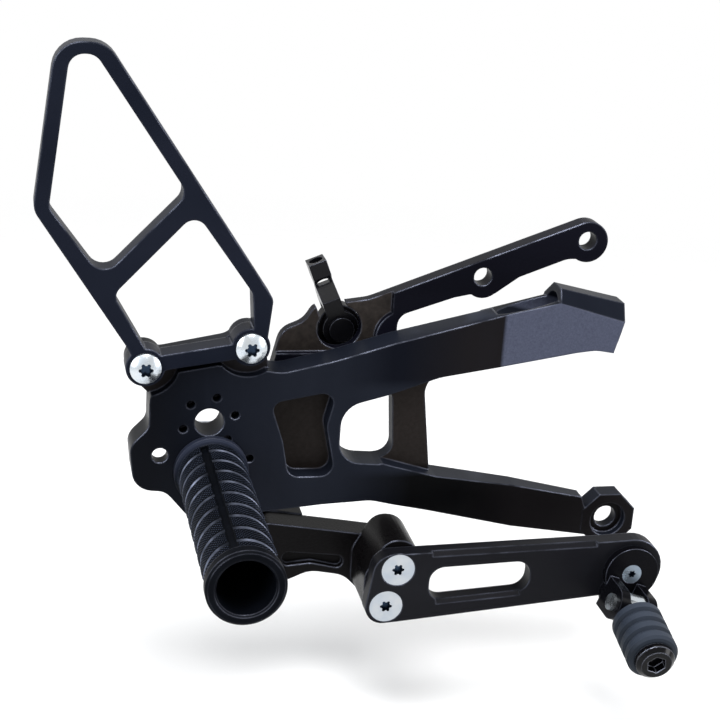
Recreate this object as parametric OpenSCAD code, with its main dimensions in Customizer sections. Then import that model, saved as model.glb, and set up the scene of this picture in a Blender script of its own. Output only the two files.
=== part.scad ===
// Brake side footrest assembly for a motorcycle: bracket, heel guard, foot peg, brake lever and toe peg.
// Millimetres, +Z up, +X towards the front of the motorcycle, the outer side faces -Y.
// The zero point is the seat of the bolt head in the lower frame boss.
// Outlines are written about the foot peg axis and moved to the zero point by place().

/* [Main bracket] */
// Thickness of the bracket plate
bracket_t = 12; // [10:0.5:14]
// Depth of the ledge that carries the heel guard
ledge_y = 4; // [3:0.5:5]
// Front face of the thin web between the arms
web_y = 6; // [4:0.5:8]
// Depth of the blind pocket in the head
pocket_depth = 7; // [4:0.5:8]
// Diameter of the spare foot peg hole
spare_hole_d = 10.1; // [9:0.1:12]
// Radius of the ring of locating holes round each foot peg hole
pin_ring_r = 9.2; // [8.5:0.1:10]
// Diameter of one locating hole
pin_hole_d = 3; // [2.5:0.1:3.5]
// Depth of one locating hole
pin_hole_depth = 5; // [4:0.5:6]

/* [Frame bolts] */
// Clearance hole for the frame bolts
frame_hole_d = 8.4; // [8.2:0.1:9]
// Counterbore for the head of a frame bolt
frame_head_d = 13.5; // [13:0.1:14]
// Depth of the lower counterbore
lower_head_depth = 3; // [2:0.5:4]
// Flat to flat size of the lower eight sided boss
lower_boss_af = 20.6; // [19:0.1:24]
// Thickness of the lower boss
lower_boss_t = 7.5; // [7:0.5:12]
// Flat to flat size of the upper eight sided boss
upper_boss_af = 18.6; // [17:0.1:22]
// Length of the upper boss
upper_boss_len = 25.4; // [22:0.1:32]
// Downward slope of the upper frame bolt
upper_tilt = 12.8; // [0:0.1:20]

/* [Heel guard] */
// Thickness of the heel guard
guard_t = 8; // [6:0.5:9]
// Radius of the round feet of the heel guard
guard_foot_r = 6.6; // [6:0.1:8]
// Clearance hole of an M6 screw
m6_clear_d = 6.4; // [6.2:0.1:6.8]

/* [Foot peg] */
// Length of the foot peg
peg_len = 86.4; // [70:0.1:95]
// Diameter of the gripping body
peg_d = 23.6; // [20:0.1:26]
// Diameter of the smooth end ring
peg_end_d = 25; // [22:0.1:28]
// Diameter of the base flange
peg_base_d = 26; // [25:0.5:30]
// Diameter of the open bore
peg_bore_d = 18.2; // [16:0.1:20]
// Number of ring grooves
peg_rings = 9; // [5:1:10]

/* [Brake lever] */
// Thickness of the lever behind the bracket
lever_t = 8; // [7:0.5:10]
// Running gap between moving faces
side_gap = 0.5; // [0.3:0.1:1]
// Outside diameter of the pivot sleeve
sleeve_d = 12; // [12:0.5:16]
// Wall of the bearing bush
bush_wall = 1; // [1:0.25:2]
// Radial clearance of the turning fits
run_fit = 0.03; // [0.01:0.01:0.08]
// Height of the push rod pin over the pivot
rod_pin_z = 44.5; // [40:0.1:46]
// Distance of the push rod pin ahead of the pivot
rod_pin_x = 47.8; // [44:0.1:52]

/* [Toe piece] */
// Thickness of the toe plate
toe_plate_t = 6; // [5:0.5:8]
// Distance of the toe plate face out from the bracket face
toe_face_out = 25; // [20:0.5:30]
// Distance of the adjuster disc ahead of the pivot
toe_x = 149.6; // [140:0.1:156]
// Distance of the adjuster disc below the pivot
toe_down = 32.6; // [28:0.1:36]
// Diameter of the adjuster disc
toe_disc_d = 20; // [18:0.5:22]
// Offset of the folding peg from the disc centre
toe_offset = 9; // [6:0.1:10]
// Diameter of the toe rubber
toe_rubber_d = 18; // [16:0.5:20]
// Length of the toe rubber
toe_rubber_len = 20.5; // [18:0.5:30]

/* [Brake cylinder stay] */
// Distance between the two cylinder holes
cyl_pitch = 40; // [38:0.5:42]
// Diameter of a cylinder hole
cyl_hole_d = 6.6; // [6.2:0.1:7]
// Upward slope of the stay
stay_tilt = 19.6; // [10:0.1:30]
// Thickness of the stay
stay_t = 6.5; // [6:0.5:10]
// Thickness of the milled down plate of the stay
stay_plate_t = 4; // [3:0.5:5]

/* [Hidden] */
$fn = 48;
// Lower frame bolt seen from the foot peg axis.
low_x = 152.4;
low_y = 6;
low_z = -27.3;
seat_y = low_y + lower_head_depth;
// Guard screws seen from the foot peg axis.
guard_rear = [-23.7, 39.8];
guard_front = [11.6, 46.6];
guard_y = ledge_y - guard_t;
ear_back = ledge_y + 5;
spare = [-1.1, 18.1];
edge_hole = [-17.8, 6.1];
// Upper boss: rear end of its axis.
up_x = 121;
up_y = upper_boss_af / 2;
up_z = 55.4;
rib_back = up_y * 2 - 1;
kink_x = 103.2;
kink_y = 2.02;
cutter = 70;
// Screws: shaft, thread hole and heads.
m6_d = 6;
m5_d = 5;
m10_d = 10;
thread_gap = 0.1;
m6_hole = m6_d + thread_gap;
m5_hole = m5_d + thread_gap;
// Foot peg levels.
peg_r = peg_d / 2;
peg_floor = 16;
peg_head_d = 16;
peg_head_t = 10;
ring_first = 9.8;
ring_pitch = (peg_len - 9 - ring_first) / (peg_rings - 1);
// Lever levels behind the bracket.
lever_y = bracket_t + side_gap;
lever_back = lever_y + lever_t;
bush_d = sleeve_d + 2 * bush_wall;
ear_y = 24;
ear_t = 6;
ear_back_y = ear_y + ear_t;
hub_d = bush_d + 5;
bush_len = lever_t / 2 - 0.2;
thrust_y = lever_back + side_gap;
thrust_t = 1.2;
nut_t = 6;
nut_af = 14;
arm_y = 2;
block_back = 3;
pin = [rod_pin_x, rod_pin_z];
rod_pin_d = 6;
fork_gap = 0.3;
fork_arm = 2.8;
fork_lean = 21.8;
fork_len = 25.5;
fork_thread = 9;
fork_w = 6.6;
fork_eye_d = 13;
fork_bridge = 9.5;
fork_front = ear_y - fork_gap - fork_arm;
fork_back = ear_back_y + fork_gap + fork_arm;
stop = [19.6, -11.4];
stop_d = 6;
// Toe levels in front of the bracket.
toe_face_y = -toe_face_out;
toe_back_y = toe_face_y + toe_plate_t;
toe = [toe_x, -toe_down];
toe_screws = [[63.4, -28.6], [60.0, -42.7]];
toe_head_d = 11.8;
toe_screw_in = 16;
clamp_head_d = 7.2;
m4_d = 4;
cap_thread = 11;
disc_t = 3;
disc_y = toe_face_y - disc_t;
hinge_y = toe_face_y - 12;
hinge = [toe_x, -toe_down - toe_offset];
toe_turn = 20;
tongue_w = 7;
tongue_len = 7;
tongue_h = 9;
tongue_r = 5;
hinge_ear_r = 6;
hinge_head_d = 6;
hinge_head_t = 1.2;
collar_d = 14;
slot_w = tongue_w + 0.6;
lug_w = 15;
hinge_pin_d = 4;
barrel_y = hinge_y - tongue_len;
barrel_end = barrel_y - toe_rubber_len;
toe_droop = 10;
cap_t = 3.5;
core_d = 9;
cap_d = 13.6;
// Stay levels and its two cylinder holes.
stay_y = bracket_t;
stay_back = stay_y + stay_t;
stay_front = stay_back - stay_plate_t;
cyl_mid = [114.8, 73.4];
cyl_dir = [cos(stay_tilt), sin(stay_tilt)];
cyl_a = cyl_mid - cyl_dir * cyl_pitch / 2;
cyl_b = cyl_mid + cyl_dir * cyl_pitch / 2;
stay_screws = [[31, 32.4], [58, 35.8]];
stay_head_d = 9.2;
notch = [45.6, 47.4];
notch_d = 16;
black = [0.05, 0.055, 0.07];
dark = [0.08, 0.08, 0.09];
steel = [0.72, 0.73, 0.75];
bronze = [0.62, 0.44, 0.2];
soft = [0.13, 0.15, 0.18];

// Corner lists: x, z, corner radius.
body_outline = [
  [-21.8, 34.8, 12], [1.2, 38.8, 2], [24, 35.7, 10], [42, 39.9, 20], [63, 46.2, 0],
  [up_x + 1.1, up_z + 4.9, 0], [up_x + 25.6, up_z - 1.9, 0], [up_x + 22.8, up_z - 13.7, 0],
  [up_x + 16, up_z - 12.7, 12], [up_x + 9, up_z - 13.7, 12], [102.4, 36.2, 0], [80, 33.0, 20],
  [60.4, 26.6, 8], [45.4, 22.6, 9],
  [45.2, 1.8, 8.5], [59.5, 1.4, 0], [82, -5.3, 0], [113, -11, 0],
  [low_x - 11.4, low_z + 9.7, 0], [low_x - 5.4, low_z - 6.7, 0], [113, -27.4, 0],
  [79, -18.4, 10], [58, -13.4, 12], [40, -14.4, 12],
  [18, -16.6, 12], [-4, -21.5, 12], [-15.6, -7.6, 6], [-26.6, -6.6, 7.5], [-28.2, 9.6, 6.5],
  [-21.7, 16.2, 5]
];
rib_outline = [[92, 38, 0], [98, 52.5, 0], [up_x + 1, up_z + 3.2, 0], [up_x + 5, up_z - 13.4, 0]];
web_outline = [
  [56, 27, 0], [60, 30, 0], [80, 37, 0], [96, 35.6, 0], [75.6, 32, 8], [80.6, -6, 0],
  [72, -8, 0], [54, -2, 0], [50, 8, 0]
];
window_outline = [
  [45.3, 22.7, 9], [64.4, 27.4, 3.5], [66.4, 1.2, 5.5], [59.5, 0.6, 0], [45.2, 1.6, 8.5]
];
pocket_outline = [
  [20.0, 24.6, 3.5], [43.4, 29.0, 4], [40.2, 15.4, 8], [44.4, -3.6, 4.5], [27.6, -3.4, 4.5],
  [25.0, 10.0, 10]
];
ledge_outline = [
  [-24.9, 45.5, 0], [-18.6, 43.2, 6], [4.4, 47.6, 6], [10.6, 52.6, 0], [17.6, 46.0, 0], [20, 32, 0],
  [-14, 30, 0], [-22, 28, 0], [-24, 30, 0], [-29.2, 36.8, 0]
];
guard_outline = [
  [-53.2, 147.0, 9.6], [-37.4, 147.0, 9.6], [18.5, 63.6, 4],
  [guard_front[0] + 5.4, guard_front[1] + 1.6, 0], [guard_front[0], guard_front[1] - 4.6, 0],
  [7.4, 42.5, 4], [-16.6, 38.9, 4], [guard_rear[0], guard_rear[1] - 6.4, 0],
  [-29.6, 46.6, 6], [-60.2, 93.6, 7]
];
guard_window_a = [
  [-48.8, 143.2, 5], [-40.9, 143.2, 5], [-11.2, 99.3, 5], [-38.2, 71.0, 5.5], [-55.2, 94.2, 5]
];
guard_window_b = [
  [-8.4, 93.2, 4.5], [11.4, 65.7, 4], [12.6, 49, 0], [-22.2, 43.4, 4], [-34.6, 65.2, 4]
];
neck_outline = [
  [9, 2, 0], [15.6, -12, 8], [22.6, -21.6, 6], [36, -24.0, 0], [36, -43, 0], [14, -42, 14],
  [-9.3, -4, 0], [-3, 6, 0]
];
rocker_outline = [
  [-1, 9.2, 0], [6, 9.6, 0], [16, 13, 8], [28, 22, 0], [37, 14, 0], [24, -1, 10], [12, -6, 6], [0, -8, 0]
];
joint_outline = [[18, 12, 3], [28.5, 20.5, 3], [36.5, 13.5, 3], [26, 3.5, 3]];
arm_outline = [
  [14, -22.6, 0], [22, -22.2, 0], [49, -26.5, 0], [64, -29, 0], [68, -46, 6], [56.5, -50.5, 3],
  [50.4, -44.0, 10], [37.5, -41.6, 10], [29, -45.4, 6], [16, -42, 6]
];
block_outline = [
  [60.2, -20.2, 6.5], [73.4, -20.4, 8], [70.4, -51.2, 8.5], [53.2, -48.6, 6], [53.0, -33, 8]
];
arm_pocket = [
  [27, -33.6, 2.4], [50, -36.2, 2.3], [49.4, -41.4, 2], [38, -38.6, 6], [27.4, -39.6, 2.4]
];
toe_outline = [
  [55.4, -22.9, 7], [toe[0] - 10.6, toe[1] + 11.7, 8], [toe[0] + 12.3, toe[1] + 12.6, 11.2],
  [toe[0] + 12, toe[1] - 12.2, 11.4], [toe[0] - 10.1, toe[1] - 9.6, 8],
  [64, -49.0, 6], [51.6, -49.8, 6.5]
];
toe_slot = [
  [75, -28.4, 5.4], [112.2, -27.0, 5.4], [112.0, -39.1, 5.4], [75, -41.6, 5.4]
];
ear_outline = [
  [18.5, 11.5, 4], [29, 21.5, 14], [39.6, 34, 0], [39.8, 46, 0], [55.6, 42, 0], [52.5, 27.5, 16],
  [38, 12, 10], [26, 4, 4]
];
stay_outline = [
  [20.5, 27, 5], [25.0, 46.2, 7], [33.0, 49.4, 8], [36.4, 55.0, 4], [56.0, 57.6, 14],
  [cyl_b[0] - 2, cyl_b[1] + 6.6, 0], [cyl_b[0] + 4, cyl_b[1] - 6.9, 0], [126.8, 73.4, 8], [109.4, 66.6, 5],
  [cyl_a[0] + 5, cyl_a[1] - 6.2, 0], [cyl_a[0] - 4.5, cyl_a[1] - 6.6, 0], [86, 59.0, 8],
  [66, 52.2, 5], [66, 31, 6]
];

function fillet(a, b, c, r) =
  let (
    p = [b[0], b[1]], u = [a[0] - b[0], a[1] - b[1]], v = [c[0] - b[0], c[1] - b[1]],
    un = u / norm(u), vn = v / norm(v), half = acos(min(1, max(-1, un * vn))) / 2,
    d = r / tan(half), m = un + vn, ctr = p + m / norm(m) * r / sin(half),
    s = p + un * d, e = p + vn * d,
    a0 = atan2(s[1] - ctr[1], s[0] - ctr[0]), a1 = atan2(e[1] - ctr[1], e[0] - ctr[0]),
    w0 = a1 - a0, w = w0 > 180 ? w0 - 360 : w0 < -180 ? w0 + 360 : w0,
    n = max(2, ceil(abs(w) / 12))
  )
  [for (k = [0:n]) ctr + r * [cos(a0 + w * k / n), sin(a0 + w * k / n)]];

function rounded(c) = [
  for (i = [0:len(c) - 1])
    let (a = c[(i + len(c) - 1) % len(c)], b = c[i], d = c[(i + 1) % len(c)])
      each (b[2] > 0 ? fillet(a, b, d, b[2]) : [[b[0], b[1]]])
];

module place() {
  translate([-low_x, -seat_y, -low_z]) children();
}

// The adjuster and its folding peg are turned a little on the toe plate.
module adjusted() {
  place() translate([toe[0], 0, toe[1]]) rotate([0, toe_turn, 0]) translate([-toe[0], 0, -toe[1]])
    children();
}

// The folding peg rests a little below square to the toe plate.
module drooped() {
  translate([0, hinge_y, hinge[1]]) rotate([toe_droop, 0, 0]) translate([0, -hinge_y, -hinge[1]])
    children();
}

// A flat plate of the given outline between two levels of Y.
module plate(outline, y0, y1) {
  translate([0, y1, 0]) rotate([90, 0, 0]) linear_extrude(y1 - y0) polygon(rounded(outline));
}

// A round bar along Y at p = [x, z] between two levels of Y.
module bar(p, d, y0, y1) {
  translate([p[0], y1, p[1]]) rotate([90, 0, 0]) cylinder(d = d, h = y1 - y0);
}

// A cone along Y: d0 at y0 and d1 at y1.
module cone(p, d0, d1, y0, y1) {
  translate([p[0], y1, p[1]]) rotate([90, 0, 0]) cylinder(d1 = d1, d2 = d0, h = y1 - y0);
}

module tube(p, d_out, d_in, y0, y1) {
  difference() {
    bar(p, d_out, y0, y1);
    bar(p, d_in, y0 - 1, y1 + 1);
  }
}

// A turned piece about the line along Y through p: points are radius and distance towards -Y.
module turned(p, y, points) {
  translate([p[0], y, p[1]]) rotate([90, 0, 0]) rotate_extrude() polygon(points);
}

// A straight chamfer of leg c on the front edge of a plate, from p to q = [x, z].
module long_bevel(p, q, y, c) {
  d = q - p;
  side = c * sqrt(2);
  translate([p[0], y, p[1]]) rotate([0, -atan2(d[1], d[0]), 0]) rotate([45, 0, 0])
    translate([0, -side / 2, -side / 2]) cube([norm(d), side, side]);
}

// The upper frame bolt axis: Z of the children runs along the bolt towards the frame.
module on_upper_axis() {
  translate([up_x, up_y, up_z]) rotate([0, 90 + upper_tilt, 0]) children();
}

module octagon_prism(af, h) {
  rotate([0, 0, 22.5]) cylinder(d = af / cos(22.5), h = h, $fn = 8);
}

// A six lobed socket that opens towards -Y.
module star_socket(p, d, y, depth) {
  bar(p, d * 0.72, y - 1, y + depth);
  for (a = [0:60:300]) {
    bar([p[0] + d * 0.37 * cos(a), p[1] + d * 0.37 * sin(a)], d * 0.26, y - 1, y + depth);
  }
}

module hex_socket(p, af, y, depth) {
  translate([p[0], y + depth, p[1]]) rotate([90, 0, 0]) cylinder(d = af / cos(30), h = depth + 1, $fn = 6);
}

// A button head screw with its head outside y and its shaft running to y_end.
module button_screw(p, y, y_end) difference() {
  union() {
    intersection() {
      bar(p, 10.5, y - 3.3, y);
      translate([p[0], y + 4.7, p[1]]) sphere(r = 8);
    }
    bar(p, m6_d, y - 0.5, y_end);
  }
  star_socket(p, 5, y - 3.3, 2.4);
}

// A countersunk screw flush with y, with its shaft running to y_end.
module flush_screw(p, head, shaft, y, y_end) difference() {
  union() {
    bar(p, head, y, y + 0.4);
    cone(p, head, shaft, y + 0.4, y + 0.4 + (head - shaft) / 2);
    bar(p, shaft, y + 0.4 + (head - shaft) / 2 - 0.1, y_end);
  }
  star_socket(p, shaft * 0.72, y, 2);
}

module flush_hole(p, head, shaft, y, y_end) {
  bar(p, head + 2 * run_fit, y - 1, y + 0.42);
  cone(p, head + 2 * run_fit, shaft, y + 0.42, y + 0.42 + (head - shaft) / 2 + run_fit);
  bar(p, shaft, y, y_end);
}

module main_bracket() color(black) place() difference() {
  union() {
    difference() {
      plate(body_outline, 0, bracket_t);
      // Ledge for the heel guard, milled round both of its feet.
      for (p = [guard_rear, guard_front]) bar(p, 24, -1, ledge_y);
      translate([-40, -1, 39.2]) cube([50, ledge_y + 1, 20]);
      // Rear face of the upper arm, up to its upright kink.
      translate([67, 0, 20]) rotate([0, 0, 3.2]) translate([0, -10, 0]) cube([kink_x - 66.8, 10, cutter]);
      // Sloping face of the lower arm.
      translate([66, 0, 2 - cutter]) rotate([0, 0, 4.6]) translate([0, -10, 0])
        cube([low_x - 60, 10, cutter]);
    }
    plate(web_outline, web_y, bracket_t);
    plate(ledge_outline, ledge_y, ear_back);
    for (p = [guard_rear, guard_front]) bar(p, 2 * guard_foot_r - 0.6, ledge_y, ear_back);
    // Rib behind the upper arm that leads into the boss.
    plate(rib_outline, bracket_t - 1, rib_back);
    on_upper_axis() octagon_prism(upper_boss_af, upper_boss_len);
    translate([low_x, low_y + lower_boss_t, low_z]) rotate([90, 0, 0])
      octagon_prism(lower_boss_af, lower_boss_t);
  }
  // Front face of the upper arm, from its kink to the end of the boss.
  translate([kink_x, kink_y, 20]) rotate([0, 0, -2.7]) translate([0, -10, 0]) cube([cutter, 10, cutter]);
  plate(window_outline, -1, bracket_t + 1);
  plate(pocket_outline, -1, pocket_depth);
  // Upper frame bolt: bore, head room and the scallop that lets the tool in.
  on_upper_axis() {
    translate([0, 0, -1]) cylinder(d = frame_hole_d, h = upper_boss_len + 2);
    translate([0, 0, -20]) cylinder(d = frame_head_d, h = 20 + upper_boss_len - 10);
  }
  // Lower frame bolt.
  bar([low_x, low_z], frame_hole_d, low_y - 1, low_y + lower_boss_t + 1);
  bar([low_x, low_z], frame_head_d, low_y - 6, low_y + lower_head_depth);
  // Foot peg holes and their rings of locating holes.
  for (p = [[0, 0], spare]) {
    bar(p, spare_hole_d, -1, bracket_t + 1);
    for (a = [15:60:315]) {
      bar([p[0] + pin_ring_r * cos(a), p[1] + pin_ring_r * sin(a)], pin_hole_d, -1, pin_hole_depth);
    }
  }
  bar([13.4, 4.1], pin_hole_d, -1, pin_hole_depth);
  // Edge hole, opened out from behind.
  bar(edge_hole, 5.5, -1, bracket_t + 1);
  bar(edge_hole - [0, 2], 13, bracket_t - 7, bracket_t + 1);
  // Guard screw threads, stay screw threads and the stop pin hole.
  for (p = [guard_rear, guard_front]) bar(p, m6_hole, -1, bracket_t + 1);
  for (p = stay_screws) bar(p, m5_hole, bracket_t - 9, bracket_t + 1);
  bar(stop, stop_d, bracket_t - 7, bracket_t + 1);
}

module heel_guard() color(black) place() difference() {
  union() {
    difference() {
      plate(guard_outline, guard_y, ledge_y);
      plate(guard_window_a, guard_y - 1, ledge_y + 1);
      plate(guard_window_b, guard_y - 1, ledge_y + 1);
    }
    for (p = [guard_rear, guard_front]) bar(p, 2 * guard_foot_r, guard_y, ledge_y);
  }
  for (p = [guard_rear, guard_front]) bar(p, m6_clear_d, guard_y - 1, ledge_y + 1);
}

module guard_screw_rear() color(steel) place() button_screw(guard_rear, guard_y, ear_back + 1);

module guard_screw_front() color(steel) place() button_screw(guard_front, guard_y, ear_back + 1);

module foot_peg() color(black) place() difference() {
  turned([0, 0], 0, concat(
    [[m10_d / 2 + 0.1, 0], [peg_base_d / 2, 0], [peg_base_d / 2, 2.4], [peg_base_d / 2 - 0.6, 3],
     [peg_r, 4.2]],
    [for (i = [0:peg_rings - 1]) let (g = ring_first + i * ring_pitch)
      each [[peg_r, g - 0.8], [peg_r - 0.7, g - 0.35], [peg_r - 0.7, g + 0.35], [peg_r, g + 0.8]]],
    [[peg_r, peg_len - 4.8], [peg_end_d / 2, peg_len - 4], [peg_end_d / 2, peg_len - 0.8],
     [peg_end_d / 2 - 0.8, peg_len], [peg_bore_d / 2 + 0.6, peg_len], [peg_bore_d / 2, peg_len - 0.6],
     [peg_bore_d / 2, peg_floor], [m10_d / 2 + 0.1, peg_floor]]
  ));
  // Four grooves along the grip.
  for (a = [73:90:343]) {
    rotate([0, a, 0]) translate([-1.2, 5 - peg_len, peg_r - 1.3]) cube([2.4, peg_len - 10, 4]);
  }
  for (a = [15, 195]) {
    bar([pin_ring_r * cos(a), pin_ring_r * sin(a)], pin_hole_d, -5, 1);
  }
}

module peg_dowels() color(steel) place() {
  for (a = [15, 195]) {
    bar([pin_ring_r * cos(a), pin_ring_r * sin(a)], pin_hole_d - 0.06, -4.8, pin_hole_depth - 0.5);
  }
}

module peg_bolt() color(steel) place() difference() {
  union() {
    bar([0, 0], peg_head_d, -peg_floor - peg_head_t, -peg_floor);
    bar([0, 0], m10_d, -peg_floor - 1, thrust_y + thrust_t + nut_t + 1.5);
  }
  hex_socket([0, 0], 8, -peg_floor - peg_head_t, 5);
}

module pivot_sleeve() color(steel) place()
  tube([0, 0], sleeve_d, m10_d + 0.2, bracket_t, thrust_y);

module thrust_washer() color(steel) place()
  tube([0, 0], hub_d, m10_d + 0.4, thrust_y, thrust_y + thrust_t);

module pivot_nut() color(steel) place() difference() {
  translate([0, thrust_y + thrust_t + nut_t, 0]) rotate([90, 0, 0])
    cylinder(d = nut_af / cos(30), h = nut_t, $fn = 6);
  bar([0, 0], m10_d + thread_gap, thrust_y, thrust_y + thrust_t + nut_t + 1);
}

module stop_pin() color(steel) place() bar(stop, stop_d, bracket_t - 7, lever_back - 0.5);

module pump_stay() color(dark) place() difference() {
  union() {
    plate(stay_outline, stay_y, stay_back);
    bar(cyl_b + [0.2, -0.5], 14.8, stay_y, stay_back);
    bar(cyl_a + [0.3, -1.1], 13.6, stay_y, stay_back);
  }
  // Milled down face round the push rod, left full under the two screws.
  difference() {
    translate([20, stay_y - 1, 38.5]) cube([44, stay_front - stay_y + 1, 30]);
    bar([68.4, 44], 20, stay_y - 2, stay_back);
  }
  // Open notch that shows the push rod eye.
  bar(notch, notch_d, stay_y - 1, stay_back + 1);
  translate([notch[0], stay_y - 1, notch[1]]) rotate([0, -fork_lean, 0])
    translate([-5.2, 0, 0]) cube([10.4, stay_t + 2, 16]);
  for (p = [cyl_a, cyl_b]) bar(p, cyl_hole_d, stay_y - 1, stay_back + 1);
  for (p = stay_screws) {
    translate([p[0], stay_back, p[1]]) rotate([0, 0, 180])
      flush_hole([0, 0], stay_head_d, m5_d + 0.4, 0, stay_t + 1);
  }
}

// A countersunk screw that enters the bracket from behind and ends flush with the stay.
module stay_screw(p) {
  translate([p[0], stay_back, p[1]]) rotate([0, 0, 180])
    flush_screw([0, 0], stay_head_d, m5_d, 0, stay_t + 8);
}

module stay_screw_rear() color(steel) place() stay_screw(stay_screws[0]);

module stay_screw_front() color(steel) place() stay_screw(stay_screws[1]);

module brake_lever() color(dark) place() difference() {
  union() {
    plate(neck_outline, lever_y, lever_back);
    bar([0, 0], hub_d, lever_y, lever_back);
    plate(rocker_outline, lever_y, lever_back);
    plate(joint_outline, lever_y + 1, ear_back_y - 1);
    plate(ear_outline, ear_y, ear_back_y);
    bar(pin, 15.6, ear_y, ear_back_y);
    plate(arm_outline, arm_y, lever_back - 8);
    plate([[17, -25, 0], [34, -26.5, 0], [34, -41, 0], [19, -40, 0]], arm_y + 4, lever_y + 4);
    plate(block_outline, toe_back_y, block_back);
  }
  plate(arm_pocket, arm_y - 1, arm_y + 2.5);
  bar([0, 0], bush_d, lever_y - 1, lever_back + 1);
  bar(pin, rod_pin_d, ear_y - 1, ear_back_y + 1);
  for (p = toe_screws) bar(p, m6_hole, toe_back_y - 1, toe_back_y + toe_screw_in + 2);
}

module bush_outer() color(bronze) place()
  tube([0, 0], bush_d, sleeve_d + 2 * run_fit, lever_y, lever_y + bush_len);

module bush_inner() color(bronze) place()
  tube([0, 0], bush_d, sleeve_d + 2 * run_fit, lever_back - bush_len, lever_back);

module toe_plate() color(black) place() difference() {
  plate(toe_outline, toe_face_y, toe_back_y);
  plate(toe_slot, toe_face_y - 1, toe_back_y + 1);
  long_bevel([75.4, -22.42], [136.3, -20.96], toe_face_y, 1.7);
  long_bevel([78, -41.4], [109, -39.31], toe_face_y, 1.4);
  for (p = toe_screws) flush_hole(p, toe_head_d, m6_hole, toe_face_y, toe_back_y + 1);
  bar(toe, m4_d + thread_gap, toe_face_y - 1, toe_back_y + 1);
}

module toe_screw_upper() color(steel) place()
  flush_screw(toe_screws[0], toe_head_d, m6_d, toe_face_y, toe_back_y + toe_screw_in);

module toe_screw_lower() color(steel) place()
  flush_screw(toe_screws[1], toe_head_d, m6_d, toe_face_y, toe_back_y + toe_screw_in);

// Profile of one hinge ear, drawn across X.
module ear_block(x0, w) {
  translate([x0, 0, 0]) {
    translate([0, hinge_y, hinge[1]]) rotate([0, 90, 0]) cylinder(r = hinge_ear_r, h = w);
    translate([0, hinge_y, hinge[1] - hinge_ear_r]) cube([w, disc_y - hinge_y + 0.5, 2 * hinge_ear_r]);
  }
}

module toe_adjuster() color(black) adjusted() difference() {
  union() {
    bar(toe, toe_disc_d, disc_y, toe_face_y);
    bar(hinge, lug_w, disc_y, toe_face_y);
    ear_block(hinge[0] - lug_w / 2, (lug_w - slot_w) / 2);
    ear_block(hinge[0] + slot_w / 2, (lug_w - slot_w) / 2);
  }
  flush_hole(toe, clamp_head_d, m4_d + thread_gap, disc_y, toe_face_y + 1);
  translate([toe[0], disc_y, toe[1]]) rotate([90, 0, 0]) cylinder(d = clamp_head_d + 0.4, h = 12);
  translate([hinge[0] - lug_w / 2 - 1, hinge_y, hinge[1]]) rotate([0, 90, 0])
    cylinder(d = hinge_pin_d, h = lug_w + 2);
  bar([hinge[0], hinge[1] + 1.2], 4, disc_y - 1, toe_face_y - 0.5);
}

module toe_clamp_screw() color(steel) place()
  flush_screw(toe, clamp_head_d, m4_d, disc_y, toe_back_y - 0.5);

module detent_plunger() color(steel) adjusted() {
  bar([hinge[0], hinge[1] + 1.2], 4, disc_y - 1.5, toe_face_y - 0.5);
  translate([hinge[0], disc_y - 1.5, hinge[1] + 1.2]) sphere(d = 4);
}

module toe_hinge_pin() color(steel) adjusted()
  translate([hinge[0], hinge_y, hinge[1]]) rotate([0, 90, 0]) {
  translate([0, 0, -lug_w / 2 - hinge_head_t]) cylinder(d = hinge_head_d, h = hinge_head_t);
  translate([0, 0, -lug_w / 2 - 0.5]) cylinder(d = hinge_pin_d, h = lug_w + 1);
  translate([0, 0, lug_w / 2]) cylinder(d = hinge_head_d, h = hinge_head_t);
}

module toe_peg_core() color(steel) adjusted() drooped() difference() {
  union() {
    translate([hinge[0] - tongue_w / 2, hinge_y, hinge[1]]) rotate([0, 90, 0])
      cylinder(r = tongue_r, h = tongue_w);
    translate([hinge[0] - tongue_w / 2, barrel_y, hinge[1] - tongue_h / 2])
      cube([tongue_w, tongue_len, tongue_h]);
    bar(hinge, collar_d, barrel_y, barrel_y + 1);
    bar(hinge, core_d, barrel_end, barrel_y + 0.5);
  }
  translate([hinge[0] - tongue_w, hinge_y, hinge[1]]) rotate([0, 90, 0])
    cylinder(d = hinge_pin_d + 2 * run_fit, h = 2 * tongue_w);
  bar(hinge, m5_hole, barrel_end - 1, barrel_end + cap_thread + 1);
}

module toe_rubber() color(soft) adjusted() drooped() {
  r = toe_rubber_d / 2;
  pitch = toe_rubber_len / 4;
  turned(hinge, barrel_y, concat(
    [[core_d / 2, 0], [r - 1.4, 0], [r - 0.6, 0.6]],
    [for (i = [0:3]) each [
      [r, i * pitch + 1.2], [r, (i + 1) * pitch - 1.4],
      [r - (i < 3 ? 1.1 : 0.8), (i + 1) * pitch - (i < 3 ? 0.6 : 0.5)]]],
    [[r - 1.8, toe_rubber_len], [core_d / 2, toe_rubber_len]]
  ));
}

module toe_cap() color(black) adjusted() drooped() difference() {
  union() {
    turned(hinge, barrel_end,
      [[0, 0], [cap_d / 2, 0], [cap_d / 2, 2], [cap_d / 2 - 1.5, cap_t], [0, cap_t]]);
    bar(hinge, m5_d, barrel_end - 0.5, barrel_end + cap_thread);
  }
  hex_socket(hinge, 6, barrel_end - cap_t, 3);
}

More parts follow.
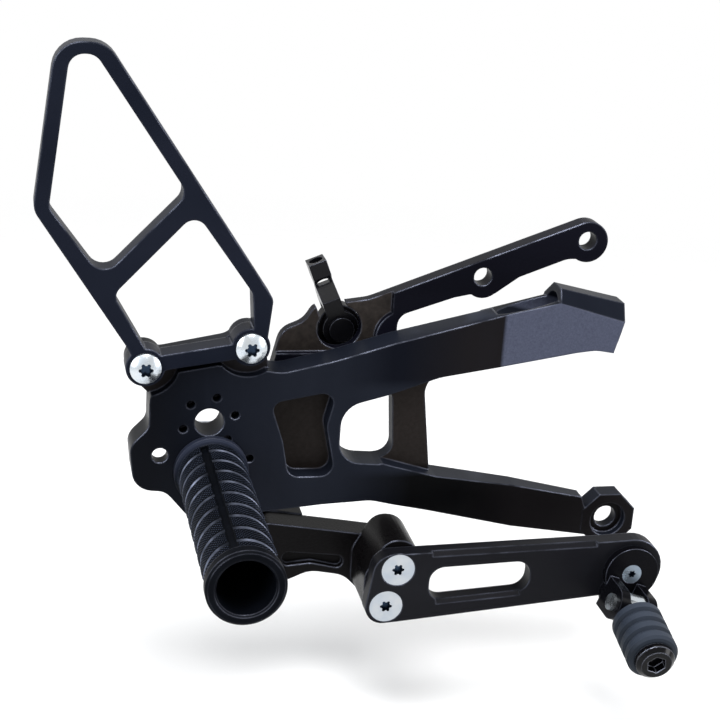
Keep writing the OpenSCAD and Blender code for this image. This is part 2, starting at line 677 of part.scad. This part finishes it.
// The push rod fork in its own frame, the pin along Y and the rod along +Z.
module pushrod_fork() color(steel) place() translate([pin[0], 0, pin[1]]) rotate([0, -fork_lean, 0])
  difference() {
    union() {
      for (y = [fork_front, fork_back - fork_arm]) {
        bar([0, 0], fork_eye_d, y, y + fork_arm);
        translate([-fork_w / 2, y, 0]) cube([fork_w, fork_arm, fork_bridge + 3.5]);
      }
      translate([-fork_w / 2, fork_front, fork_bridge]) cube([fork_w, fork_back - fork_front, 4.5]);
      translate([-fork_w / 2, fork_front + 2.3, fork_bridge + 2.5])
        cube([fork_w, fork_back - fork_front - 4.6, fork_len - fork_bridge - 2.5]);
    }
    // Sloping shoulders of the fork.
    translate([-5, fork_front, fork_bridge + 1.7]) rotate([-40, 0, 0])
      translate([0, -6, 0]) cube([10, 6, 8]);
    translate([-5, fork_back, fork_bridge + 1.7]) rotate([40, 0, 0]) cube([10, 6, 8]);
    bar([0, 0], rod_pin_d + 2 * run_fit, fork_front - 1, fork_back + 1);
    translate([0, (fork_front + fork_back) / 2, fork_len - fork_thread])
      cylinder(d = m5_hole, h = fork_thread + 1);
  }

module rod_pin() color(steel) place() difference() {
  union() {
    bar(pin, rod_pin_d, fork_front - 1, fork_back + 2);
    bar(pin, 9, fork_front - 1.6, fork_front - 0.1);
  }
  difference() {
    bar(pin, 8, fork_back + 0.2, fork_back + 1.1);
    bar(pin, 5, fork_back, fork_back + 2);
  }
}

module rod_clip() color(steel) place()
  tube(pin, 9, 5.06, fork_back + 0.25, fork_back + 1.05);

main_bracket();
heel_guard();
guard_screw_rear();
guard_screw_front();
foot_peg();
peg_dowels();
peg_bolt();
pivot_sleeve();
thrust_washer();
pivot_nut();
stop_pin();
pump_stay();
stay_screw_rear();
stay_screw_front();
brake_lever();
bush_outer();
bush_inner();
toe_plate();
toe_screw_upper();
toe_screw_lower();
toe_adjuster();
toe_clamp_screw();
detent_plunger();
toe_hinge_pin();
toe_peg_core();
toe_rubber();
toe_cap();
pushrod_fork();
rod_pin();
rod_clip();
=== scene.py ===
"""Studio scene of the brake side footrest assembly, in metres and in the frame of the CAD model."""
import math

import bpy
from mathutils import Matrix, Vector


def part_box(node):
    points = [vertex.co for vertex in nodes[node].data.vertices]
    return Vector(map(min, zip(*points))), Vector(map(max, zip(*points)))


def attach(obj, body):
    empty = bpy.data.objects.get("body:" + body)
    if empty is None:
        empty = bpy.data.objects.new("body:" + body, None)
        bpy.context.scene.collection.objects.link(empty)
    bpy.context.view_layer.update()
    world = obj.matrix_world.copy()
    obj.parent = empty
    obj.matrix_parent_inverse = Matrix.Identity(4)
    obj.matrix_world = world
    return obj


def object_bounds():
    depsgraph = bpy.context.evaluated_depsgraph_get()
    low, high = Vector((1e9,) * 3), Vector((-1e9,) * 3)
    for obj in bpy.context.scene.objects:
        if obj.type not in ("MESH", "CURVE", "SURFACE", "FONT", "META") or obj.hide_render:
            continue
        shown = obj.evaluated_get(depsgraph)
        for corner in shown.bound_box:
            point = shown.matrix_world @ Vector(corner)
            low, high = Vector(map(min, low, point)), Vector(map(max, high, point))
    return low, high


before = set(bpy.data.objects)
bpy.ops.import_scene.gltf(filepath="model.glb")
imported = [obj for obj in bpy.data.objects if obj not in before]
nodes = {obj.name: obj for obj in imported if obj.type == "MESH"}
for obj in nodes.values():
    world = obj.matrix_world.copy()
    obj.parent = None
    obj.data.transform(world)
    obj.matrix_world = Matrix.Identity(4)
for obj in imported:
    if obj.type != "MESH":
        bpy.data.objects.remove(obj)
cad_low, cad_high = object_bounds()

# The foot peg and its grip: nine ring grooves and four long ones, with teeth on the lands between them.
# Distances along the peg are from the bracket, and the turn of the first long groove from straight up.
PEG_LOW, PEG_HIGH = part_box("foot_peg")
PEG_CENTRE = (PEG_LOW + PEG_HIGH) / 2
GRIP_RADIUS, GRIP_START, GRIP_END = 0.0118, 0.0042, 0.0816
RING_FIRST, RING_PITCH, RING_COUNT, RING_HALF = 0.0098, 0.00845, 9, 0.0008
SLOT_TURN, SLOT_COUNT, SLOT_HALF = math.radians(73), 4, 0.0012
TOOTH_ROW, TEETH_ACROSS, TOOTH_ROOT, TOOTH_TIP = 0.00068, 14, 0.01174, 0.01212
TOOTH_SIZE = 0.98  # the share of its place that a tooth fills, so that no two touch

# Radius of each socket that shows, and how far its edge lies behind the front of the screw's head.
SOCKETS = {
    "guard_screw_rear": (0.00262, 0.00044),
    "guard_screw_front": (0.00262, 0.00044),
    "toe_screw_upper": (0.00240, 0.00005),
    "toe_screw_lower": (0.00240, 0.00005),
    "toe_clamp_screw": (0.00160, 0.00005),
}

# Colours: pairs are the two ends of a fine mottling, or the two ends of a face.
# Several colours here are painted light: shade on the rear of the head, the pocket floors, the arms past
# their kinks and the stay's milled face, and highlights on edges, on the grip's rings and flange, and on the
# rubber's top.
HEAD_REAR_SHADE = (0.0014, 0.0017, 0.0026)
POCKET_FLOOR_SHADE = (0.0120, 0.0098, 0.0090), (0.0170, 0.0142, 0.0132)
LOWER_ARM_SHADE = (0.0008, 0.0009, 0.0012), (0.0052, 0.0046, 0.0052)
UPPER_ARM_SHADE = (0.0016, 0.0022, 0.0050), (0.0066, 0.0056, 0.0062)
BLASTED = (0.0470, 0.0525, 0.0800), (0.0710, 0.0790, 0.1160)
STAY_FACE_SHADE = (0.0170, 0.0145, 0.0135), (0.0310, 0.0260, 0.0235)
WORN_EDGE_HIGHLIGHT, WORN_GRIP_EDGE_HIGHLIGHT, WORN_CAP_EDGE_HIGHLIGHT = (0.120, 0.130, 0.170), (0.170, 0.180, 0.230), (0.34, 0.36, 0.44)
FLANGE_HIGHLIGHT, RING_HIGHLIGHT, WORN_TOOTH = (0.019, 0.023, 0.038), (0.120, 0.134, 0.180), (0.120, 0.145, 0.220)
SOCKET_SHADE = (0.022, 0.036, 0.062)
BRONZE = (0.50, 0.32, 0.13), (0.16, 0.09, 0.035)
RUBBER, RUBBER_LIT_TOP = ((0.0052, 0.0082, 0.0135), (0.0115, 0.0160, 0.0245)), (0.034, 0.043, 0.062)
FLOOR = (0.925, 0.925, 0.925), (0.935, 0.935, 0.935)


# Node helpers

class Shader:
    """One procedural material: a Principled shader and short calls that add nodes to it."""

    def __init__(self, name, color, metallic, roughness, gloss=0.5):
        self.material = bpy.data.materials.new(name)
        self.material.use_nodes = True
        self.tree = self.material.node_tree
        self.out = self.tree.nodes["Principled BSDF"]
        self.material.diffuse_color = (*color, 1)
        self.set("Base Color", (*color, 1))
        self.set("Metallic", metallic)
        self.set("Roughness", roughness)
        self.set("Specular IOR Level", gloss)
        where = self.add("ShaderNodeTexCoord")
        self.place = where.outputs["Object"]
        self.facing = where.outputs["Normal"]

    def set(self, socket, value):
        self.out.inputs[socket].default_value = value

    def add(self, kind, **settings):
        node = self.tree.nodes.new(kind)
        for key, value in settings.items():
            setattr(node, key, value)
        return node

    def link(self, a, b):
        self.tree.links.new(a, b)

    def put(self, socket, value):
        """Gives a socket a constant or another node's output."""
        if isinstance(value, bpy.types.NodeSocket):
            self.link(value, socket)
        else:
            socket.default_value = value

    def math(self, operation, a, b=0.0):
        node = self.add("ShaderNodeMath", operation=operation)
        self.put(node.inputs[0], a)
        self.put(node.inputs[1], b)
        return node.outputs[0]

    def product(self, *values):
        result = values[0]
        for value in values[1:]:
            result = self.math("MULTIPLY", result, value)
        return result

    def noise(self, scale, detail=3.0, roughness=0.55, stretch=(1, 1, 1)):
        mapping = self.add("ShaderNodeMapping")
        self.link(self.place, mapping.inputs["Vector"])
        mapping.inputs["Scale"].default_value = stretch
        node = self.add("ShaderNodeTexNoise")
        self.link(mapping.outputs["Vector"], node.inputs["Vector"])
        node.inputs["Scale"].default_value = scale
        node.inputs["Detail"].default_value = detail
        node.inputs["Roughness"].default_value = roughness
        return node.outputs["Fac"]

    def span(self, value, low, high, to_low=0.0, to_high=1.0):
        """Runs from to_low to to_high as the value runs from low to high, and stays level on both sides."""
        node = self.add("ShaderNodeMapRange")
        self.put(node.inputs["Value"], value)
        limits = {"From Min": low, "From Max": high, "To Min": to_low, "To Max": to_high}
        for name, number in limits.items():
            node.inputs[name].default_value = number
        return node.outputs["Result"]

    def band(self, value, start, full, still, end):
        """1 from full to still, thinning out to 0 at start and at end."""
        return self.product(self.span(value, start, full), self.span(value, still, end, 1.0, 0.0))

    def mix(self, factor, a, b):
        node = self.add("ShaderNodeMix", data_type="RGBA")
        self.put(node.inputs["Factor"], factor)
        self.put(node.inputs[6], a if isinstance(a, bpy.types.NodeSocket) else (*a, 1))
        self.put(node.inputs[7], b if isinstance(b, bpy.types.NodeSocket) else (*b, 1))
        return node.outputs[2]

    def axis(self, name, of=None):
        node = self.add("ShaderNodeSeparateXYZ")
        self.link(of or self.place, node.inputs[0])
        return node.outputs[name]

    def length(self, a, b):
        squares = self.math("ADD", self.math("MULTIPLY", a, a), self.math("MULTIPLY", b, b))
        return self.math("SQRT", squares)

    def from_axis(self, x, z):
        """How far across, up and out from the line along Y through x and z."""
        across, up = self.math("SUBTRACT", self.axis("X"), x), self.math("SUBTRACT", self.axis("Z"), z)
        return across, up, self.length(across, up)

    def front_face(self):
        """1 on faces that look along -Y, to the rider."""
        return self.span(self.axis("Y", self.facing), -0.80, -0.92)

    def tone(self):
        """The colour mixed so far."""
        return self.out.inputs["Base Color"].links[0].from_socket

    def color(self, value):
        self.link(value, self.out.inputs["Base Color"])

    def rough(self, value):
        self.link(value, self.out.inputs["Roughness"])

    def bump(self, height, distance, strength):
        node = self.add("ShaderNodeBump")
        node.inputs["Strength"].default_value = strength
        node.inputs["Distance"].default_value = distance
        self.link(height, node.inputs["Height"])
        self.link(node.outputs["Normal"], self.out.inputs["Normal"])

    def soft_edges(self, radius, color, roughness, where=1.0):
        """Rounds sharp edges in the shading and gives them a thin worn film with a painted highlight,
        brighter on their upper side as painted light from above.
        """
        metal = 0.85
        round_off = self.add("ShaderNodeBevel", samples=6)
        round_off.inputs["Radius"].default_value = radius
        rounded = round_off.outputs["Normal"]
        flat = self.add("ShaderNodeNewGeometry").outputs["True Normal"]
        dot = self.add("ShaderNodeVectorMath", operation="DOT_PRODUCT")
        self.link(rounded, dot.inputs[0])
        self.link(flat, dot.inputs[1])
        rim = self.span(dot.outputs["Value"], 0.985, 0.88)
        wear_and_highlight_patches = self.span(self.noise(85), 0.36, 0.62, 0.15, 1.0)
        # Painted light: edges that face up get the brighter highlight.
        lit_above = self.span(self.axis("Z", rounded), -0.35, 0.45, 0.12, 1.0)
        rim = self.product(rim, wear_and_highlight_patches, lit_above, where)
        self.color(self.mix(rim, self.tone(), color))
        plain = self.out.inputs["Roughness"].links[0].from_socket
        self.rough(self.math("ADD", self.math("MULTIPLY", plain, self.math("SUBTRACT", 1.0, rim)),
                             self.math("MULTIPLY", rim, roughness)))
        shine, metal_in = self.math("MULTIPLY", rim, metal), self.out.inputs["Metallic"]
        if metal_in.links:
            shine = self.math("MAXIMUM", metal_in.links[0].from_socket, shine)
        self.link(shine, metal_in)
        normal_in = self.out.inputs["Normal"]
        if normal_in.links:
            normal_in = normal_in.links[0].from_node.inputs["Normal"]
        self.link(rounded, normal_in)


# Finishes, with painted shade and painted highlights

def anodised(name, color, pale, roughness, streak=(1, 1, 1), gloss=0.05, rim=0.0010, rim_wear_and_highlight=WORN_EDGE_HIGHLIGHT,
             painted_highlight=0.0, finish_and_shade=None):
    """Black anodised aluminium: a cloudy sheen along the cutter's path, fine cutter marks, worn edges with
    painted highlights, and painted highlight spots for a nonzero strength.
    """
    s = Shader(name, color, 0.0, roughness, gloss)
    cloud = s.span(s.noise(30, 3.0, 0.5, streak), 0.36, 0.72)
    tone = s.mix(s.math("MULTIPLY", cloud, 0.7), color, pale)
    if painted_highlight:
        # Painted highlight: sparse bright spots at 2.6 times the pale tone.
        spot = s.span(s.noise(46, 2.0, 0.5, streak), 0.60, 0.76)
        tone = s.mix(s.math("MULTIPLY", spot, painted_highlight), tone, tuple(2.6 * c for c in pale))
    s.color(tone)
    cut = s.noise(2400, 2.0, 0.6, streak)
    s.rough(s.span(s.math("ADD", s.math("MULTIPLY", cloud, 0.5), s.math("MULTIPLY", cut, 0.5)),
                   0.2, 0.8, roughness - 0.07, roughness + 0.09))
    s.bump(cut, 0.00002, 0.3)
    if finish_and_shade:
        finish_and_shade(s)
    s.soft_edges(rim, rim_wear_and_highlight, 0.22)
    return s


def bracket_finish_and_shade(s):
    """Painted shade with a warm painted reflection on the pocket floors, painted shade on the faces past the
    arms' kinks and at the rear of the head, and a blasted end to the upper arm.
    """
    tone, front_face = s.tone(), s.front_face()
    x, y, z = s.axis("X"), s.axis("Y"), s.axis("Z")
    upper = s.span(z, 0.056, 0.060)
    # Painted shade darkens the rear of the head.
    tone = s.mix(s.span(x, -0.172, -0.142, 0.75, 0.0), tone, HEAD_REAR_SHADE)
    # The floors of the pockets are told by their depth and get painted shade with a warm painted reflection.
    pocket_shade = s.product(s.band(y, -0.0075, -0.0036, 0.0012, 0.0020), front_face)
    grit = s.span(s.noise(700, 3.0, 0.6), 0.3, 0.7)
    tone = s.mix(pocket_shade, tone, s.mix(grit, *POCKET_FLOOR_SHADE))
    # Painted shade turns the lower arm nearly black past its kink, a little warmer towards the boss.
    lower = s.product(s.span(z, 0.0255, 0.0225), s.span(x, -0.106, -0.080), front_face)
    tone = s.mix(lower, tone, s.mix(s.span(x, -0.062, -0.036), *LOWER_ARM_SHADE))
    # Painted shade darkens the upper arm the same way, up to the sharp line where its blasted front begins.
    dark = s.product(s.band(x, -0.108, -0.090, -0.0505, -0.0490), upper, front_face)
    tone = s.mix(s.math("MULTIPLY", dark, 0.9), tone, s.mix(s.span(x, -0.086, -0.062), *UPPER_ARM_SHADE))
    blasted = s.product(s.span(x, -0.0503, -0.0490), upper, front_face)
    spark = s.span(s.noise(1500, 2.0, 0.7), 0.30, 0.80)
    s.color(s.mix(blasted, tone, s.mix(spark, *BLASTED)))


def stay_shade(s):
    """Painted shade with a warm painted reflection makes the milled face of the stay, one step further back,
    browner than the rest.
    """
    milled = s.product(s.band(s.axis("Y"), 0.0042, 0.0050, 0.0060, 0.0066), s.front_face())
    grit = s.span(s.noise(420, 3.0, 0.6), 0.3, 0.7)
    s.color(s.mix(milled, s.tone(), s.mix(grit, *STAY_FACE_SHADE)))


def grip(name, color):
    """The foot peg without its teeth: smooth slopes in the ring grooves with painted highlights, and a
    painted highlight on the upper half of the base flange.
    """
    s = Shader(name, color, 0.0, 0.42, 0.02)
    across, up, reach = s.from_axis(PEG_CENTRE.x, PEG_CENTRE.z)
    along = s.axis("Y")
    gripped = s.band(along, PEG_LOW.y + 0.0048, PEG_LOW.y + 0.0052, PEG_HIGH.y - 0.0050, PEG_HIGH.y - 0.0046)
    dust = s.span(s.noise(110), 0.35, 0.7)
    tone = s.mix(dust, tuple(0.6 * c for c in color), color)
    # A painted highlight makes the base flange paler on its upper half.
    flange = s.product(s.span(along, PEG_HIGH.y - 0.0047, PEG_HIGH.y - 0.0042),
                       s.span(reach, GRIP_RADIUS - 0.0004, GRIP_RADIUS + 0.0006), s.span(up, -0.004, 0.010))
    tone = s.mix(flange, tone, FLANGE_HIGHLIGHT)
    # Painted highlights on the slopes of the ring grooves, brightest on both sides of the upper long groove.
    sloped = s.band(s.math("ABSOLUTE", s.axis("Y", s.facing)), 0.15, 0.45, 0.86, 0.94)
    ring = s.product(gripped, sloped, s.span(reach, GRIP_RADIUS - 0.0012, GRIP_RADIUS - 0.0010))
    aside = s.math("ABSOLUTE", s.math("ADD", across, 0.0034))
    patchy = s.span(s.noise(160, 2.0), 0.40, 0.62, 0.35, 1.0)
    ring = s.product(ring, patchy, s.span(aside, 0.0020, 0.0058, 0.15, 1.0))
    s.color(s.mix(ring, tone, RING_HIGHLIGHT))
    s.link(s.math("MULTIPLY", ring, 0.8), s.out.inputs["Metallic"])
    s.rough(s.math("SUBTRACT", s.span(dust, 0.0, 1.0, 0.38, 0.52), s.math("MULTIPLY", ring, 0.12)))
    s.soft_edges(0.0008, WORN_GRIP_EDGE_HIGHLIGHT, 0.24, where=s.math("SUBTRACT", 1.0, gripped))
    return s


def toothed(name, color):
    """The teeth of the grip: dark at the root, worn paler at the tip."""
    s = Shader(name, color, 0.0, 0.36, 0.012)
    reach = s.from_axis(PEG_CENTRE.x, PEG_CENTRE.z)[2]
    dust = s.span(s.noise(110), 0.35, 0.7, 0.35, 1.0)
    tip = s.product(s.span(reach, TOOTH_TIP - 0.00015, TOOTH_TIP - 0.00002), dust)
    s.color(s.mix(tip, color, WORN_TOOTH))
    s.rough(s.span(s.noise(900, 2.0), 0.3, 0.7, 0.30, 0.44))
    return s


def zinc(name, color, roughness=0.24, sockets=()):
    """Bright plated steel with a faint blue cloud and turned marks, and dark inside its screws' sockets."""
    s = Shader(name, color, 0.95, roughness)
    cloud = s.span(s.noise(210, 2.0), 0.3, 0.7)
    tone = s.mix(cloud, color, tuple(c * k for c, k in zip(color, (0.88, 0.93, 1.0))))
    for screw in sockets:
        radius, lip = SOCKETS[screw]
        low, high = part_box(screw)
        reach = s.from_axis((low.x + high.x) / 2, (low.z + high.z) / 2)[2]
        inside = s.product(s.span(reach, radius, radius + 0.00008, 1.0, 0.0),
                           s.span(s.axis("Y"), low.y + lip, low.y + lip + 0.0003))
        tone = s.mix(inside, tone, SOCKET_SHADE)
    s.color(tone)
    marks = s.noise(3200, 2.0, 0.6)
    s.rough(s.span(s.math("ADD", cloud, marks), 0.6, 1.4, roughness - 0.06, roughness + 0.10))
    s.bump(marks, 0.000015, 0.4)
    return s


def bronze(name):
    """Sintered bearing bronze with dark pores."""
    s = Shader(name, BRONZE[0], 0.9, 0.42)
    pores = s.noise(5200, 2.0, 0.7)
    s.color(s.mix(s.span(pores, 0.55, 0.72), *BRONZE))
    s.rough(s.span(pores, 0.3, 0.7, 0.32, 0.56))
    s.bump(pores, 0.00003, 0.5)
    return s


def rubber(name):
    """Matt moulded rubber with a fine bloom, and painted light that makes its upper side paler."""
    s = Shader(name, (0.008, 0.012, 0.020), 0.0, 0.58, 0.14)
    tone = s.mix(s.span(s.noise(140, 4.0), 0.3, 0.72), *RUBBER)
    lit_upper_side = s.span(s.axis("Z", s.facing), 0.05, 0.95, 0.0, 0.8)
    s.color(s.mix(lit_upper_side, tone, RUBBER_LIT_TOP))
    grain = s.noise(3000, 3.0, 0.65)
    s.rough(s.span(grain, 0.3, 0.7, 0.50, 0.70))
    s.bump(grain, 0.00007, 0.6)
    return s


looks = {
    "plate": anodised("bracket_black", (0.0056, 0.0070, 0.0118), (0.0112, 0.0135, 0.0205), 0.36, (1, 1, 0.16),
                      0.035, painted_highlight=0.5, finish_and_shade=bracket_finish_and_shade),
    "guard": anodised("guard_black", (0.0046, 0.0062, 0.0118), (0.0098, 0.0118, 0.0200), 0.34, (0.3, 1, 1),
                      0.035),
    "lever": anodised("lever_black", (0.0028, 0.0025, 0.0028), (0.0062, 0.0058, 0.0062), 0.30, (0.3, 1, 1),
                      0.04),
    "toe": anodised("toe_plate_black", (0.0052, 0.0054, 0.0072), (0.0100, 0.0104, 0.0135), 0.38, (0.2, 1, 1)),
    "stay": anodised("stay_black", (0.0020, 0.0021, 0.0046), (0.0056, 0.0058, 0.0105), 0.30, (0.25, 1, 1),
                     0.03, finish_and_shade=stay_shade),
    "turned": anodised("turned_black", (0.0018, 0.0018, 0.0026), (0.0040, 0.0040, 0.0054), 0.22, (1, 0.2, 1),
                       0.035, 0.0005),
    "cap": anodised("cap_black", (0.0010, 0.0010, 0.0016), (0.0024, 0.0024, 0.0034), 0.12, (1, 0.2, 1),
                    0.12, 0.0006, WORN_CAP_EDGE_HIGHLIGHT),
    "grip": grip("grip_black", (0.0032, 0.0040, 0.0062)),
    "teeth": toothed("knurl_black", (0.0013, 0.0018, 0.0030)),
    "zinc": zinc("zinc_bright", (0.56, 0.59, 0.61), sockets=("guard_screw_rear", "guard_screw_front")),
    "zinc_dull": zinc("zinc_dull", (0.24, 0.28, 0.32), 0.30, sockets=("toe_clamp_screw",)),
    "zinc_flat": zinc("zinc_matt", (0.41, 0.43, 0.45), 0.34, sockets=("toe_screw_upper", "toe_screw_lower")),
    "steel": zinc("steel_hidden", (0.50, 0.51, 0.53), 0.30),
    "dark_steel": anodised("steel_black", (0.0030, 0.0030, 0.0040), (0.0070, 0.0070, 0.0090), 0.20,
                           gloss=0.12, rim=0.0005),
    "bronze": bronze("bearing_bronze"),
    "rubber": rubber("grip_rubber"),
}

DRESS = {
    "plate": ["main_bracket"],
    "guard": ["heel_guard"],
    "lever": ["brake_lever"],
    "toe": ["toe_plate"],
    "stay": ["pump_stay"],
    "turned": ["toe_adjuster"],
    "cap": ["toe_cap"],
    "grip": ["foot_peg"],
    "zinc": ["guard_screw_rear", "guard_screw_front", "toe_hinge_pin", "detent_plunger", "toe_peg_core"],
    "zinc_dull": ["toe_clamp_screw"],
    "zinc_flat": ["toe_screw_upper", "toe_screw_lower"],
    "steel": ["peg_dowels", "pivot_sleeve", "thrust_washer", "pivot_nut", "stop_pin",
              "stay_screw_rear", "stay_screw_front", "rod_clip"],
    "dark_steel": ["pushrod_fork", "rod_pin", "peg_bolt"],
    "bronze": ["bush_outer", "bush_inner"],
    "rubber": ["toe_rubber"],
}


def dress(name, look):
    """Gives a CAD node its material and smooth shading."""
    mesh = nodes[name].data
    mesh.materials.clear()
    mesh.materials.append(looks[look].material)
    for face in mesh.polygons:
        face.use_smooth = True


# New pieces

def place(name, data):
    """Puts a mesh, a lamp or a camera into the scene as an object."""
    obj = bpy.data.objects.new(name, data)
    bpy.context.scene.collection.objects.link(obj)
    return obj


def piece(name, points, faces, look):
    """A new mesh of one material."""
    mesh = bpy.data.meshes.new(name)
    mesh.from_pydata(points, [], faces)
    mesh.materials.append(look.material)
    return place(name, mesh)


def knurl():
    """Pointed teeth in diagonal rows on each land of the foot peg's grip."""
    rings = [RING_FIRST + i * RING_PITCH for i in range(RING_COUNT)]
    lands = zip([GRIP_START] + [g + RING_HALF for g in rings], [g - RING_HALF for g in rings] + [GRIP_END])
    slot_half = math.asin(SLOT_HALF / GRIP_RADIUS)
    sector = 2 * math.pi / SLOT_COUNT
    width = (sector - 2 * slot_half) / TEETH_ACROSS
    side = width / 2 * TOOTH_SIZE
    points, faces = [], []

    def point(turn, along, radius):
        points.append((PEG_CENTRE.x + radius * math.sin(turn), PEG_HIGH.y - along,
                       PEG_CENTRE.z + radius * math.cos(turn)))

    for start, end in lands:
        steps = round((end - start) / TOOTH_ROW)
        half = (end - start) / steps
        reach = half * TOOTH_SIZE
        for slot in range(SLOT_COUNT):
            first = SLOT_TURN + slot * sector + slot_half
            for row in range(1, steps):
                odd = row % 2
                for k in range(TEETH_ACROSS - odd):
                    turn, along, n = first + width * (k + 0.5 + 0.5 * odd), start + half * row, len(points)
                    point(turn - side, along, TOOTH_ROOT)
                    point(turn, along - reach, TOOTH_ROOT)
                    point(turn + side, along, TOOTH_ROOT)
                    point(turn, along + reach, TOOTH_ROOT)
                    point(turn, along, TOOTH_TIP)
                    faces += [(n + 2, n + 1, n + 4), (n + 1, n, n + 4), (n, n + 3, n + 4),
                              (n + 3, n + 2, n + 4), (n + 2, n + 3, n, n + 1)]
    teeth = piece("peg_knurl", points, faces, looks["teeth"])
    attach(teeth, "bracket")


# Floor, light and camera

def ground():
    """A pale floor that thins out into the white of the world round it."""
    drop, side, middle, fade_from, fade_to = 0.034, 3.0, -0.10, 0.22, 0.75
    s = Shader("floor_pale", (0.93, 0.93, 0.93), 0.0, 0.85, gloss=0.1)
    s.color(s.mix(s.noise(4, 2.0), *FLOOR))
    away = s.length(s.math("SUBTRACT", s.axis("X"), middle), s.axis("Y"))
    s.link(s.span(away, fade_from, fade_to, 1.0, 0.0), s.out.inputs["Alpha"])
    z = cad_low[2] - drop
    corners = [(-side, -side, z), (side, -side, z), (side, side, z), (-side, side, z)]
    floor = piece("floor", corners, [(0, 1, 2, 3)], s)


def surroundings():
    """White to the camera and in reflections, and dimmer as a light on the object."""
    as_light, as_seen = 0.62, 1.0
    world = bpy.data.worlds.new("studio")
    bpy.context.scene.world = world
    world.use_nodes = True
    tree = world.node_tree
    background = tree.nodes["Background"]
    background.inputs["Color"].default_value = (1, 1, 1, 1)
    path = tree.nodes.new("ShaderNodeLightPath")
    seen = tree.nodes.new("ShaderNodeMath")
    seen.operation = "MAXIMUM"
    tree.links.new(path.outputs["Is Camera Ray"], seen.inputs[0])
    tree.links.new(path.outputs["Is Glossy Ray"], seen.inputs[1])
    level = tree.nodes.new("ShaderNodeMapRange")
    level.inputs["To Min"].default_value = as_light
    level.inputs["To Max"].default_value = as_seen
    tree.links.new(seen.outputs[0], level.inputs["Value"])
    tree.links.new(level.outputs["Result"], background.inputs["Strength"])


def lamp(name, spot, size, power, color=(1, 1, 1)):
    """A rectangular lamp at a spot, turned to the middle of the object."""
    middle = Vector((-0.05, 0, 0.05))
    data = bpy.data.lights.new(name, "AREA")
    data.shape = "RECTANGLE"
    data.size, data.size_y = size
    data.energy = power
    data.color = color
    obj = place(name, data)
    obj.location = spot
    obj.rotation_euler = (middle - Vector(spot)).to_track_quat("-Z", "Y").to_euler()


def camera():
    """The photograph's view point and roll, swung the shortest way to face the object, with a lens to fit."""
    view_point = Vector((-0.22145, -0.50220, 0.24943))
    right = Vector((0.99957, -0.02940, 0.0))
    forward = Vector((0.02768, 0.94087, -0.33763))
    fill = 0.91  # the share of the picture that the object takes
    rounds = 6  # the middle of the outline moves a little each time the camera is swung to it
    photo = Matrix((right, right.cross(forward), -forward)).transposed().to_quaternion()
    corners = []
    for name in nodes:
        low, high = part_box(name)
        corners += [Vector((x, y, z)) for x in (low.x, high.x) for y in (low.y, high.y)
                    for z in (low.z, high.z)]
    aim = (Vector(cad_low) + Vector(cad_high)) / 2
    for _ in range(rounds):
        rotation = forward.rotation_difference((aim - view_point).normalized()) @ photo
        seen = [rotation.inverted() @ (c - view_point) for c in corners]
        xs = [p.x / -p.z for p in seen]
        ys = [p.y / -p.z for p in seen]
        middle = Vector(((min(xs) + max(xs)) / 2, (min(ys) + max(ys)) / 2, -1))
        distance = (aim - view_point).length
        aim = view_point + (rotation @ middle).normalized() * distance
    half = max(max(xs) - min(xs), max(ys) - min(ys)) / 2 / fill
    data = bpy.data.cameras.new("camera")
    obj = place("camera", data)
    obj.location = view_point
    obj.rotation_euler = rotation.to_euler()
    data.sensor_width = 36
    data.lens = data.sensor_width / 2 / half
    data.clip_start = 0.01
    data.clip_end = 60
    bpy.context.scene.camera = obj


for look, names in DRESS.items():
    for name in names:
        dress(name, look)
knurl()
ground()
surroundings()
lamp("top", (-0.15, -0.25, 0.95), (0.7, 0.5), 9)
lamp("left", (-0.95, -0.55, 0.45), (0.35, 0.8), 6, (0.92, 0.96, 1.0))
lamp("right", (0.85, -0.50, 0.35), (0.3, 0.7), 5)
camera()
bpy.context.scene.view_settings.view_transform = "Standard"
